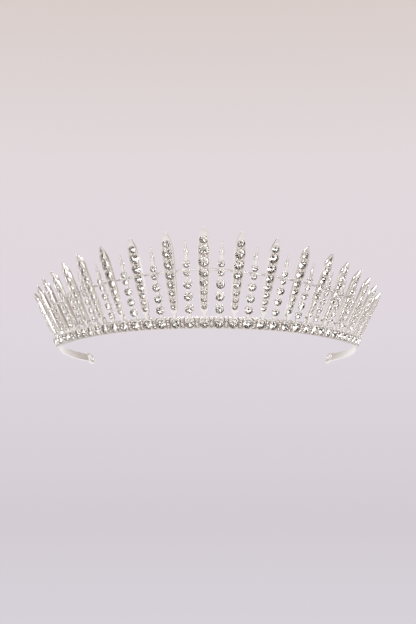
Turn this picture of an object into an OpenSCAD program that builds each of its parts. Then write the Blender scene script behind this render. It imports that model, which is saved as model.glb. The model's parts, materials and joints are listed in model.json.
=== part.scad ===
// Bridal tiara: stone-set spears alternate with beaded stems on a base row of claw-set stones.
// A plain sprung strip carries the row and ends in two loops for hair pins.
// Millimetres, +Z up. The band lies level, rests at z = 0 and its front faces -Y.

/* [Band plan] */
// Radius of the arc across the front, at the strip's outer face
front_radius = 53; // [46:1:64]
// Radius of the two side arcs
side_radius = 128; // [108:1:154]
// Turn from the front centre to where the side arcs begin, in degrees
junction_turn = 50; // [42:1:58]
// Arc length from the front centre to the middle of an end loop
loop_arc = 184; // [154:1:220]
// Outward lean of the band and of all that stands on it, in degrees
flare = 26.5; // [22:0.5:32]
// Spacing of the spears and stems along the band
pitch = 5.55; // [4.7:0.05:6.6]
// Spears on each side of the centre one
spears_per_side = 9; // [6:1:9]

/* [Headband strip] */
// Height of the strip along its slope
strip_height = 4.8; // [4:0.1:5]
// Height of the strip where it meets an end loop
strip_end_height = 4.2; // [3.4:0.1:4.8]
// Thickness of the strip
strip_thickness = 0.9; // [0.7:0.1:1.2]

/* [End loops] */
// Radius of a loop at the middle of its wire
loop_radius = 2.5; // [2.2:0.05:3]
// Radius of the loop wire
loop_wire_radius = 0.8; // [0.7:0.05:0.95]
// Radius of the hole through a loop
loop_hole_radius = 1.95; // [1.8:0.05:2.1]

/* [Base row] */
// Diameter of the round stone below each spear and stem
base_stone_d = 3.8; // [3.2:0.05:4.2]
// Metal between a round stone and the top and bottom of its setting
base_margin = 0.4; // [0.3:0.05:0.6]
// Metal between a round stone and the sides of its setting
base_wall = 0.12; // [0.1:0.01:0.16]
// How far the settings' bottom is cut back, to leave a level land to rest on
base_land = 0.35; // [0.2:0.05:0.5]
// Metal between the accent stones and the sides of their setting
accent_wall = 0.1; // [0.08:0.01:0.14]
// Radius of the four claws that hold a round stone
claw_radius = 0.28; // [0.2:0.01:0.34]
// Radius of the blunt top of a claw
claw_tip_radius = 0.14; // [0.08:0.01:0.18]
// Height of the claws above their setting
claw_height = 0.55; // [0.4:0.05:0.7]

/* [Spears] */
// Height of the centre spear above the base row
spear_height = 37.8; // [31:0.1:45.5]
// Height of the outermost spears above the base row
spear_end_height = 22.2; // [18:0.1:27]
// Stones on each spear
spear_stones = 8; // [6:1:8]
// Diameter of the pattern spear's lowest stone
foot_stone_d = 2.3; // [1.9:0.05:2.8]
// Diameter of its widest stone, the last but one
widest_stone_d = 4.3; // [3.6:0.05:4.8]
// Diameter of its top stone
tip_stone_d = 3.3; // [2.7:0.05:3.6]
// Gap between neighbouring stones
stone_gap = 0.6; // [0.4:0.05:0.8]
// Bare neck between the base row and the stones' frame
spear_neck = 3.4; // [2.6:0.1:4.2]
// Width of the neck
neck_width = 1.3; // [1:0.05:1.6]
// Length over which the neck widens into the frame
shoulder = 1.5; // [1:0.1:2]
// Plain pointed tip above the top stone
spear_tip = 3.3; // [2.9:0.1:4]
// Width of the blunt end of the tip
tip_width = 0.9; // [0.6:0.05:1.2]
// Width of the raised rim round the stones
rim_width = 0.25; // [0.2:0.01:0.3]
// Height of the raised rim
rim_height = 0.3; // [0.2:0.05:0.4]

/* [Stems] */
// Height of the stems beside the centre spear, above the base row
stem_height = 32.1; // [27:0.1:38.5]
// Height of the outermost stems above the base row
stem_end_height = 15; // [12.5:0.1:18]
// Diameter of the pattern stem's three lower stones
stem_large_d = 3.5; // [3:0.05:4]
// Diameter of its two upper stones
stem_small_d = 2.7; // [2.2:0.05:3.2]
// Wall of the cup round each stone
cup_wall = 0.3; // [0.2:0.01:0.4]
// Bar that shows between two neighbouring lower cups
cup_gap = 1.1; // [0.7:0.05:1.4]
// Bar that shows between the two upper cups
upper_cup_gap = 0.3; // [0.2:0.05:0.8]
// Bar that shows below the lowest cup
stem_foot = 1.45; // [1:0.05:2]
// Width of the bar
bar_width = 1.2; // [0.9:0.05:1.5]
// Depth of the bar
bar_depth = 1.3; // [1:0.05:1.5]
// Radius of the collar bead above the cups
collar_radius = 1.2; // [0.9:0.05:1.4]
// Length of the bar between the top cup and the collar bead's middle
collar_rise = 4.7; // [3.8:0.1:5.6]
// Length of the pin from the collar bead's middle to the top
pin_length = 4.9; // [4:0.1:6]
// Radius of the pin at the collar bead
pin_radius = 0.55; // [0.4:0.05:0.7]
// Radius of the pin below its ball
pin_top_radius = 0.3; // [0.2:0.05:0.35]
// Radius of the ball on top of the pin
pin_ball_radius = 0.5; // [0.4:0.05:0.6]

/* [Brace wire] */
// Radius of the wire behind the spears
brace_radius = 0.45; // [0.3:0.05:0.6]
// Height of the wire above the base row at the centre
brace_height = 20; // [17:0.1:24]
// Height of the wire above the base row at its ends
brace_end_height = 11; // [9:0.1:13]
// Length of wire past the middle of the last spears
brace_overhang = 1.5; // [1.2:0.1:2]

/* [Stone cut and fit] */
// Height of a stone's crown as a share of its diameter
crown_share = 0.16; // [0.12:0.01:0.2]
// Depth of a stone's pavilion as a share of its diameter
pavilion_share = 0.36; // [0.3:0.01:0.4]
// Width of a stone's table as a share of its diameter
table_share = 0.58; // [0.5:0.01:0.65]
// Metal left behind the deepest stone
setting_back = 0.45; // [0.3:0.05:0.6]
// Metal between a stone's seat and the rim beside it
seat_margin = 0.1; // [0.08:0.01:0.14]
// How far a stone's widest line sits below the metal's face
girdle_sink = 0.08; // [0.05:0.01:0.12]
// Clearance between a stone and its seat
seat_gap = 0.02; // [0.01:0.005:0.03]
// Gap left for solder between pieces that are joined
joint_gap = 0.03; // [0.02:0.01:0.05]

/* [Hidden] */
$fn = 48;
stone_sides = 8;
accent_sides = 6;
wire_sides = 8;
outline_steps = 8;
tip_steps = 6;
overshoot = 1;
shortest_flat = 1;

stem_stones = 5;
stem_large_stones = 3;
last_element = 2 * spears_per_side;
row_end = (last_element + 0.5) * pitch;

function lerp(a, b, t) = a + (b - a) * t;
function degrees(length, radius) = length / radius * 180 / PI;

// Pattern spear: stone sizes, places and the outline that holds them
function soft_step(t) = t * t * (3 - 2 * t);
function spear_stone_d(i) =
    i == spear_stones
        ? tip_stone_d
        : lerp(foot_stone_d, widest_stone_d, soft_step((i - 1) / (spear_stones - 2)));
function spear_stone_y(i) =
    i == 1
        ? spear_neck + rim_width + seat_margin + spear_stone_d(1) / 2
        : spear_stone_y(i - 1) + (spear_stone_d(i - 1) + spear_stone_d(i)) / 2 + stone_gap;
spear_stones_top = spear_stone_y(spear_stones) + tip_stone_d / 2;
spear_pattern = spear_stones_top + spear_tip;
spear_belly_y = spear_stone_y(spear_stones - 1);
setting_edge = seat_margin + rim_width;
belly_half = widest_stone_d / 2 + setting_edge;
frame_half = foot_stone_d / 2 + setting_edge;
function arc_radius(run, sag) = (run * run + sag * sag) / (2 * sag);
lower_radius = arc_radius(spear_belly_y - spear_neck, belly_half - frame_half);
upper_radius = arc_radius(spear_pattern - spear_belly_y, belly_half - tip_width / 2);
function spear_half(y) =
    let (r = y < spear_belly_y ? lower_radius : upper_radius)
    belly_half - r + sqrt(r * r - pow(y - spear_belly_y, 2));

// Pattern stem: cup sizes and places
function stem_stone_d(i) = i <= stem_large_stones ? stem_large_d : stem_small_d;
function cup_radius(i) = stem_stone_d(i) / 2 + cup_wall;
function stem_stone_y(i) =
    i == 1
        ? stem_foot + cup_radius(1)
        : stem_stone_y(i - 1) + cup_radius(i - 1) + cup_radius(i)
            + (i == stem_stones ? upper_cup_gap : cup_gap);
collar_y = stem_stone_y(stem_stones) + collar_rise;
stem_pattern = collar_y + pin_length;

// Scale of the n-th spear or stem from the centre, against its pattern
function spear_scale(n) = lerp(spear_height, spear_end_height, n / spears_per_side) / spear_pattern;
function stem_scale(n) =
    lerp(stem_height, stem_end_height, (n - 1) / (spears_per_side - 1)) / stem_pattern;

// Depth of the settings, from the deepest stone that they hold
function pavilion(d) = pavilion_share * d;
deepest_stone_d = max(widest_stone_d * spear_scale(0), base_stone_d);
setting_depth = rim_height + girdle_sink + pavilion(deepest_stone_d) + setting_back;
cup_depth = girdle_sink + pavilion(stem_large_d * stem_scale(1)) + setting_back;

// Heights up the slope, from the line where the strip's outer face would meet z = 0
setting_front = joint_gap + setting_depth;
row_foot = setting_front * tan(flare);
row_top = row_foot + base_stone_d + 2 * base_margin;
row_mid = (row_foot + row_top) / 2;
stand = row_top + joint_gap;
base_width = base_stone_d + 2 * base_wall;
accent_width = pitch - base_width - 2 * joint_gap;
accent_d = min(accent_width, (row_top - row_foot) / 2) - 2 * accent_wall;
accent_rise = (row_top - row_foot) / 4;
claw_offset = (base_stone_d / 2 + seat_gap + claw_radius) / sqrt(2);
loop_outer = loop_radius + loop_wire_radius;
loop_slope = loop_radius + loop_wire_radius / cos(flare) - strip_thickness / 2 * tan(flare);
strip_end = loop_arc - loop_outer - joint_gap;

// Plan of the band: a front arc that runs on into two flatter side arcs
front_arc = front_radius * junction_turn * PI / 180;
function plan_turn(s) =
    let (q = abs(s))
    sign(s) * (q < front_arc
        ? degrees(q, front_radius)
        : junction_turn + degrees(q - front_arc, side_radius));
loop_turn = plan_turn(loop_arc);
radius_step = side_radius - front_radius;
loop_run = front_radius + radius_step * cos(junction_turn) - side_radius * cos(loop_turn);
reach_front = (stand + spear_height) * sin(flare) + setting_front * cos(flare);
reach_back = loop_run
    - cos(loop_turn) * (loop_slope * sin(flare) - strip_thickness / 2 * cos(flare))
    + loop_radius * sqrt(1 - pow(cos(loop_turn) * cos(flare), 2)) + loop_wire_radius;
front_centre = [0, (reach_front - reach_back) / 2 + front_radius];
side_centre = front_centre + radius_step * [-sin(junction_turn), cos(junction_turn)];
function plan_point(s) =
    let (t = abs(plan_turn(s)), side = abs(s) > front_arc)
    let (c = side ? side_centre : front_centre, r = side ? side_radius : front_radius)
    [sign(s) * (c.x + r * sin(t)), c.y - r * cos(t)];

// Middle of the flat between two stations of the band, where a spear or stem stands
function element_point(i) = (plan_point((i - 0.5) * pitch) + plan_point((i + 0.5) * pitch)) / 2;
// Point at height y up the slope and z out from it, over the plan point p with turn t
function slope_point(p, t, y, z) =
    let (out = y * sin(flare) + z * cos(flare))
    [p.x + out * sin(t), p.y - out * cos(t), y * cos(flare) - z * sin(flare)];

// A local frame on the band: X along it, Y up its slope, Z out from its face
module on_slope(p, t) {
    translate([p.x, p.y, 0]) rotate([90 + flare, 0, t]) children();
}

module at_element(i) {
    on_slope(element_point(i), plan_turn(i * pitch)) children();
}

module at_arc(s) {
    on_slope(plan_point(s), plan_turn(s)) children();
}

// A closed solid through a list of rings that have equally many points
module loft(rings) {
    n = len(rings[0]);
    last = (len(rings) - 1) * n;
    sides = [
        for (a = [0:n:last - n], j = [0:n - 1])
            let (k = (j + 1) % n, b = a + n)
                each [[a + k, b + k, b + j], [a + k, b + j, a + j]]
    ];
    caps = [[for (j = [n - 1:-1:0]) j], [for (j = [0:n - 1]) last + j]];
    polyhedron(points = [for (ring = rings, p = ring) p], faces = concat(sides, caps));
}

// A brilliant: flat table, two rows of crown facets, pointed pavilion. Its girdle is at z = 0.
module stone(d, sides = stone_sides) {
    step = 360 / sides;
    girdle = [for (i = [0:sides - 1]) [cos(i * step), sin(i * step), 0] * d / 2];
    table = [
        for (i = [0:sides - 1])
            let (a = (i + 0.5) * step)
                [table_share * cos(a) / 2, table_share * sin(a) / 2, crown_share] * d
    ];
    culet = [0, 0, -pavilion(d)];
    facets = [
        for (i = [0:sides - 1])
            let (k = (i + 1) % sides)
                each [[i, sides + i, k], [sides + i, sides + k, k], [i, k, 2 * sides]]
    ];
    top = [[for (i = [sides - 1:-1:0]) sides + i]];
    polyhedron(points = concat(girdle, table, [culet]), faces = concat(facets, top));
}

// The straight-sided cup that a stone drops into, with the stone's girdle at z = 0
module stone_seat(d, sides = stone_sides) {
    floor_z = -pavilion(d) - seat_gap;
    translate([0, 0, floor_z])
        cylinder(h = overshoot - floor_z, r = d / 2 + seat_gap / cos(180 / sides), $fn = sides);
}

function both_sides(half) =
    concat(half, [for (i = [len(half) - 1:-1:0]) [-half[i].x, half[i].y]]);

function spear_edge(from, to, steps, inset) =
    [for (i = [0:steps]) let (y = lerp(from, to, i / steps)) [spear_half(y) - inset, y]];

module spear_outline() {
    neck = [[neck_width / 2, 0], [neck_width / 2, spear_neck - shoulder]];
    lower = spear_edge(spear_neck, spear_belly_y, outline_steps, 0);
    upper = spear_edge(spear_belly_y, spear_pattern, tip_steps, 0);
    polygon(both_sides(concat(neck, lower, [for (i = [1:tip_steps]) upper[i]])));
}

module spear_recess() {
    top = spear_stones_top + seat_margin;
    lower = spear_edge(spear_neck + rim_width, spear_belly_y, outline_steps, rim_width);
    upper = spear_edge(spear_belly_y, top, tip_steps, rim_width);
    polygon(both_sides(concat(lower, [for (i = [1:tip_steps]) upper[i]])));
}

spear_girdle = setting_depth - rim_height - girdle_sink;

module spear(n, side) {
    k = spear_scale(n);
    color("silver") at_element(2 * n * side) translate([0, stand, joint_gap]) difference() {
        linear_extrude(setting_depth) scale(k) spear_outline();
        translate([0, 0, setting_depth - rim_height])
            linear_extrude(rim_height + overshoot) scale(k) spear_recess();
        for (i = [1:spear_stones])
            translate([0, k * spear_stone_y(i), spear_girdle]) stone_seat(k * spear_stone_d(i));
    }
}

module spear_stone_rank(i) {
    color("aliceblue") for (n = [-spears_per_side:spears_per_side]) {
        k = spear_scale(abs(n));
        at_element(2 * n) translate([0, stand + k * spear_stone_y(i), joint_gap + spear_girdle])
            stone(k * spear_stone_d(i));
    }
}

cup_girdle = cup_depth - girdle_sink;

module finial(k) {
    translate([0, k * collar_y, bar_depth / 2]) rotate([-90, 0, 0]) {
        sphere(k * collar_radius);
        cylinder(h = k * (pin_length - pin_ball_radius), r1 = k * pin_radius, r2 = k * pin_top_radius);
        translate([0, 0, k * (pin_length - pin_ball_radius)]) sphere(k * pin_ball_radius);
    }
}

module stem(n, side) {
    k = stem_scale(n);
    color("silver") at_element((2 * n - 1) * side) translate([0, stand, joint_gap]) difference() {
        union() {
            translate([-k * bar_width / 2, 0, 0]) cube([k * bar_width, k * collar_y, bar_depth]);
            for (i = [1:stem_stones])
                translate([0, k * stem_stone_y(i), 0]) cylinder(h = cup_depth, r = k * cup_radius(i));
            finial(k);
        }
        for (i = [1:stem_stones])
            translate([0, k * stem_stone_y(i), cup_girdle]) stone_seat(k * stem_stone_d(i));
    }
}

module stem_stone_rank(i) {
    color("aliceblue") for (n = [1:spears_per_side], side = [-1, 1]) {
        k = stem_scale(n);
        at_element((2 * n - 1) * side)
            translate([0, stand + k * stem_stone_y(i), joint_gap + cup_girdle])
                stone(k * stem_stone_d(i));
    }
}

row_girdle = setting_front - girdle_sink;

// One block of the base row, with a level land below and its width along X
module row_block(width) {
    bottom = row_foot - base_land;
    section = [
        [bottom, joint_gap],
        [bottom, bottom / tan(flare)],
        [row_foot, setting_front],
        [row_top, setting_front],
        [row_top, joint_gap]
    ];
    rotate([90, 0, 90]) linear_extrude(width, center = true) polygon(section);
}

module claw() {
    bevel = claw_radius - claw_tip_radius;
    rotate_extrude() polygon([
        [0, -claw_height],
        [claw_radius, -claw_height],
        [claw_radius, claw_height - bevel],
        [claw_tip_radius, claw_height],
        [0, claw_height]
    ]);
}

module base_settings() {
    color("silver") for (i = [-last_element:last_element]) at_element(i) difference() {
        union() {
            row_block(base_width);
            for (x = [-claw_offset, claw_offset], y = [-claw_offset, claw_offset])
                translate([x, row_mid + y, setting_front]) claw();
        }
        translate([0, row_mid, row_girdle]) stone_seat(base_stone_d);
    }
}

module base_stones() {
    color("aliceblue") for (i = [-last_element:last_element])
        at_element(i) translate([0, row_mid, row_girdle]) stone(base_stone_d);
}

module at_accents() {
    for (i = [-last_element:last_element - 1]) at_arc((i + 0.5) * pitch) children();
}

module at_accent_pair() {
    for (rise = [-accent_rise, accent_rise]) translate([0, row_mid + rise, row_girdle]) children();
}

module accent_settings() {
    color("silver") at_accents() difference() {
        row_block(accent_width);
        at_accent_pair() stone_seat(accent_d, accent_sides);
    }
}

module accent_stones() {
    color("aliceblue") at_accents() at_accent_pair() stone(accent_d, accent_sides);
}

// The strip keeps its height along the base row and narrows from there to the loops
function strip_half(s) =
    let (t = max(0, (abs(s) - row_end) / (strip_end - row_end)))
    lerp(strip_height, strip_end_height, t) / 2;

function strip_ring(s) =
    let (p = plan_point(s), t = plan_turn(s), low = loop_slope - strip_half(s))
    let (high = loop_slope + strip_half(s))
    [for (c = [[low, -strip_thickness], [low, 0], [high, 0], [high, -strip_thickness]])
        slope_point(p, t, c.x, c.y)];

module headband() {
    flats = floor((strip_end - shortest_flat) / pitch - 0.5);
    half = concat([for (i = [0:flats]) (i + 0.5) * pitch], [strip_end]);
    stations = concat([for (i = [len(half) - 1:-1:0]) -half[i]], half);
    color("gainsboro") loft([for (s = stations) strip_ring(s)]);
}

module at_loop(side) {
    at_arc(side * loop_arc) translate([0, loop_slope, -strip_thickness / 2]) children();
}

module end_loop(side) {
    color("gainsboro") at_loop(side) difference() {
        rotate_extrude() translate([loop_radius, 0]) circle(loop_wire_radius);
        cylinder(h = 2 * loop_outer, r = loop_hole_radius, center = true);
    }
}

function brace_rise(i) = lerp(brace_height, brace_end_height, min(1, abs(i) / last_element));

function brace_ring(i) =
    let (p = element_point(i), t = plan_turn(i * pitch), step = 360 / wire_sides)
    [for (j = [0:wire_sides - 1])
        slope_point(p, t,
            row_top + brace_rise(i) + brace_radius * sin((j + 0.5) * step),
            -brace_radius - brace_radius * cos((j + 0.5) * step))];

module brace_wire() {
    end = last_element + brace_overhang / pitch;
    places = concat([-end], [for (i = [-last_element:last_element]) i], [end]);
    color("silver") loft([for (i = places) brace_ring(i)]);
}

headband();
base_settings();
accent_settings();
end_loop(-1);  // end_loop_left
end_loop(1);  // end_loop_right
brace_wire();
spear(0, 1);  // spear_centre
for (n = [1:spears_per_side]) {
    spear(n, -1);
    spear(n, 1);
    stem(n, -1);
    stem(n, 1);
}
base_stones();
accent_stones();
for (i = [1:spear_stones])
    spear_stone_rank(i);
for (i = [1:stem_stones])
    stem_stone_rank(i);
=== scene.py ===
"""Looks of a bridal tiara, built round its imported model.

The frame gives every place and size: where the stones sit, how far each casting reaches and how the
band runs. This script rebuilds the castings with soft edges, cuts the stones, adds claws, prongs and
solder, and lights the tiara over a plain pale floor. Lengths are in metres.
"""

import json
import logging
import math
from collections.abc import Mapping, Sequence
from dataclasses import dataclass, field
from enum import Enum
from typing import TypeVar

import bmesh
import bpy
import numpy as np
from mathutils import Matrix, Vector
from mathutils.geometry import delaunay_2d_cdt


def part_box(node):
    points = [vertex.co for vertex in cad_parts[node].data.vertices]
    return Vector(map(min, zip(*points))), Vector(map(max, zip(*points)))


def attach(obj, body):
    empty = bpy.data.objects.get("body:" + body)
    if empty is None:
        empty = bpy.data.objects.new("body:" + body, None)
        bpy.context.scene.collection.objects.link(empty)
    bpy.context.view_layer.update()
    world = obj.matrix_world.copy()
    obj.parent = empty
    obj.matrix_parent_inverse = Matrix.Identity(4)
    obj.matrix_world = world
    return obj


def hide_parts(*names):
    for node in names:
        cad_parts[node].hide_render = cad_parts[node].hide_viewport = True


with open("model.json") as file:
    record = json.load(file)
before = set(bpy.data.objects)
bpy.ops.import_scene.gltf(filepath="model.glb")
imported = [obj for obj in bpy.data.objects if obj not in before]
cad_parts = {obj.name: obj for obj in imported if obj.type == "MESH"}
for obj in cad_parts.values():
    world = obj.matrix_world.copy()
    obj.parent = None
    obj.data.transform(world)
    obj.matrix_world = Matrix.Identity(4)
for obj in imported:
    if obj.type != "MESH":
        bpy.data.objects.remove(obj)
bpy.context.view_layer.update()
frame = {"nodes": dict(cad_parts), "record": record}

log = logging.getLogger("tiara")

Colour = tuple[float, float, float, float]
Stops = Sequence[tuple[float, Colour]]
StoneCircle = tuple[Vector, float]
Ring = list[bmesh.types.BMVert]
Socket = bpy.types.NodeSocket

MM = 0.001
ROOT = "root"
UP = Vector((0, 0, 1))

# Tolerances of the meshes: points merged, faces filled, edges shaded smoothly and facets joined.
WELD = 0.001 * MM
FILL_TOLERANCE = WELD / 1000
SMOOTH_ANGLE = math.radians(38)
PLANE_ANGLE = math.radians(1)

# Share of a stone's height that lies clear of its girdle at either end.
GIRDLE_MARGIN = 0.1

# Least cosine by which a corner of an inset outline is stretched.
SHARPEST_MITRE = 0.4

# How finely small shapes are cut: rounded edges and lips, and the belts and sides of beads and claws.
EDGE_STEPS = 3
LIP_STEPS = 2
BEAD_BELTS = 2
SMALL_SIDES = 8

# Names of the attributes that meshes carry.
# The first attribute is a mask of painted shade, partly tarnished metal: it darkens metal in recesses, on
# seat lips and where blocks meet, and the stones' foil at the girdle.
SHADE_MASK = "recess"
TURN = "turn"
SIZE = "size"
FOILED = "foiled"


class Slot(Enum):
    """The record's material slots."""

    CAST = "cast_silver"
    BAND = "band_silver"
    STONE = "clear_stone"


class Pole(Enum):
    """The direction that a turned profile stands in, in the local frame of a casting."""

    OUT = "Z"
    UP = "Y"


def upright_frame(centre: Vector, axis: Vector) -> Matrix:
    """Makes a local frame on the tiara: X along the band, Y up its slope, Z along an axis out of it.

    Args:
        centre: origin of the local frame.
        axis: direction of Z.

    Returns:
        The matrix from the local frame to the tiara's.
    """
    out = axis.normalized()
    up = (UP - out * UP.dot(out)).normalized()
    turned = Matrix((up.cross(out), up, out)).transposed().to_4x4()
    return Matrix.Translation(centre) @ turned


def turn_of(point: Vector) -> float:
    """Gives a point's angle round the tiara, from the front, positive towards +X."""
    return math.atan2(point.x, -point.y)


def middle_of(points: Sequence[Vector]) -> Vector:
    """Gives the mean of points in three dimensions."""
    return sum(points, Vector()) / len(points)


def welded(node: str) -> bmesh.types.BMesh:
    """Merges a copy of a CAD node's mesh.

    Args:
        node: name of the CAD node.

    Returns:
        The merged copy, which the caller frees.
    """
    copy = bmesh.new()
    copy.from_mesh(frame["nodes"][node].data)
    bmesh.ops.remove_doubles(copy, verts=copy.verts, dist=WELD)
    copy.verts.index_update()
    copy.normal_update()
    return copy


def islands(mesh: bmesh.types.BMesh) -> list[Ring]:
    """Splits a merged mesh into its separate solids.

    Args:
        mesh: the merged mesh.

    Returns:
        The vertices of each solid, in the mesh's order.
    """
    seen: set[int] = set()
    found = []
    for start in mesh.verts:
        if start.index in seen:
            continue
        seen.add(start.index)
        island = [start]
        for vert in island:
            for edge in vert.link_edges:
                other = edge.other_vert(vert)
                if other.index not in seen:
                    seen.add(other.index)
                    island.append(other)
        found.append(island)
    return found


@dataclass(frozen=True)
class Seat:
    """One stone's place: the middle of its girdle, with Y up the slope and Z out of its table."""

    place: Matrix
    radius: float

    @property
    def centre(self) -> Vector:
        """Middle of the girdle."""
        return self.place.translation


def stone_seats(node: str) -> list[Seat]:
    """Reads where the stones of a CAD node sit.

    Args:
        node: name of a node of separate stones.

    Returns:
        The stones' seats, sorted round the tiara.
    """
    copy = welded(node)
    bmesh.ops.dissolve_limit(copy, angle_limit=PLANE_ANGLE, verts=copy.verts, edges=copy.edges)
    copy.verts.index_update()
    seats = []
    for verts in islands(copy):
        faces = {face for vert in verts for face in vert.link_faces}
        table = max(faces, key=lambda face: face.calc_area()).normal
        ordered = sorted((vert.co for vert in verts), key=table.dot)
        culet, crown = ordered[0], ordered[-1]
        height = (crown - culet).dot(table)
        margin = GIRDLE_MARGIN * height
        girdle = [point for point in ordered if margin < (point - culet).dot(table) < height - margin]
        centre = middle_of(girdle)
        seats.append(Seat(upright_frame(centre, centre - culet), (girdle[0] - centre).length))
    copy.free()
    return sorted(seats, key=lambda seat: turn_of(seat.centre))


def circles_in(place: Matrix, stones: Sequence[Seat]) -> list[StoneCircle]:
    """Gives the middle and radius of stones in a local frame."""
    inverse = place.inverted()
    return [((inverse @ stone.centre).xy, stone.radius) for stone in stones]


def local_points(node: str, place: Matrix) -> np.ndarray:
    """Gives a CAD node's vertices in a local frame.

    Args:
        node: name of the CAD node.
        place: the local frame.

    Returns:
        One row of x, y and z for each vertex.
    """
    mesh = frame["nodes"][node].data
    flat = np.empty(len(mesh.vertices) * 3, np.float32)
    mesh.vertices.foreach_get("co", flat)
    turned = np.array(place.inverted())
    return flat.reshape(-1, 3).astype(float) @ turned[:3, :3].T + turned[:3, 3]


def rings_along(node: str, count: int, gap: float) -> list[list[Vector]]:
    """Finds the cross-sections of a CAD node that runs round the tiara.

    Args:
        node: name of the CAD node.
        count: points in one cross-section.
        gap: least angle round the tiara between two cross-sections.

    Returns:
        The cross-sections that have that many points, sorted round the tiara.
    """
    copy = welded(node)
    points = sorted((vert.co.copy() for vert in copy.verts), key=turn_of)
    copy.free()
    rings = [[points[0]]]
    for before, after in zip(points, points[1:]):
        if turn_of(after) - turn_of(before) > gap:
            rings.append([])
        rings[-1].append(after)
    return [ring for ring in rings if len(ring) == count]


def circle(centre: Vector, radius: float, steps: int) -> list[Vector]:
    """Gives the points of a circle, anticlockwise.

    Args:
        centre: middle of the circle.
        radius: its radius.
        steps: how many points it has.

    Returns:
        Points in two dimensions.
    """
    turns = [math.tau * (i + 0.5) / steps for i in range(steps)]
    return [Vector((centre.x + radius * math.cos(a), centre.y + radius * math.sin(a))) for a in turns]


def rounded_box(low: Vector, high: Vector, radius: float, steps: int) -> list[Vector]:
    """Gives the outline of a rectangle with round corners, anticlockwise.

    Args:
        low: lowest corner.
        high: highest corner.
        radius: radius of the corners.
        steps: pieces of one corner.

    Returns:
        Points in two dimensions.
    """
    corners = (high.x, high.y), (low.x, high.y), (low.x, low.y), (high.x, low.y)
    points = []
    for quarter, (x, y) in enumerate(corners):
        turned = (quarter + 0.5) * math.pi / 2
        x -= math.copysign(radius, math.cos(turned))
        y -= math.copysign(radius, math.sin(turned))
        for i in range(steps + 1):
            a = (quarter + i / steps) * math.pi / 2
            points.append(Vector((x, y)) + Vector((math.cos(a), math.sin(a))) * radius)
    return points


def rounding(radius: float, steps: int) -> list[tuple[float, float]]:
    """Gives a quarter round between a wall and a face.

    Args:
        radius: radius of the rounded edge.
        steps: pieces of the quarter.

    Returns:
        Distance from the wall and from the face of each point, from the wall to the face.
    """
    turns = [i * math.pi / (2 * steps) for i in range(steps + 1)]
    return [(radius * (1 - math.cos(a)), radius * (1 - math.sin(a))) for a in turns]


def inset(outline: Sequence[Vector], distance: float) -> list[Vector]:
    """Moves a closed anticlockwise outline inwards.

    Args:
        outline: points in two dimensions.
        distance: how far each side moves, negative for outwards.

    Returns:
        The moved points.
    """
    moved = []
    for i, point in enumerate(outline):
        before = (point - outline[i - 1]).normalized()
        after = (outline[(i + 1) % len(outline)] - point).normalized()
        normal = Vector((-before.y - after.y, before.x + after.x)).normalized()
        mitre = max(SHARPEST_MITRE, normal.dot(Vector((-after.y, after.x))))
        moved.append(point + normal * distance / mitre)
    return moved


def arc_drop(run: float, sag: float, y: float) -> float:
    """Gives how far an arc has dropped from its crown.

    Args:
        run: distance from the crown at which the arc has dropped by its sag.
        sag: the drop at that distance.
        y: distance from the crown.

    Returns:
        The drop there.
    """
    radius = (run * run + sag * sag) / (2 * sag)
    return radius - math.sqrt(max(0.0, radius * radius - y * y))


def mirrored(half: Sequence[tuple[float, float]]) -> list[Vector]:
    """Closes an outline from its right half, whose points run upwards."""
    return [Vector(point) for point in half] + [Vector((-x, y)) for x, y in reversed(half) if x > 0]


def encloses(starts: np.ndarray, ends: np.ndarray, spot: np.ndarray) -> bool:
    """Tells whether a point lies inside outlines, and not in one of their holes.

    Args:
        starts: where the outlines' sides start, one row of x and y for each.
        ends: where they end.
        spot: the point.

    Returns:
        Whether a line from the point along X crosses an odd number of sides.
    """
    x, y = spot
    spans = (starts[:, 1] > y) != (ends[:, 1] > y)
    rise = np.where(spans, ends[:, 1] - starts[:, 1], 1)
    crossing = starts[:, 0] + (y - starts[:, 1]) / rise * (ends[:, 0] - starts[:, 0])
    return bool((spans & (x < crossing)).sum() % 2)


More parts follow.
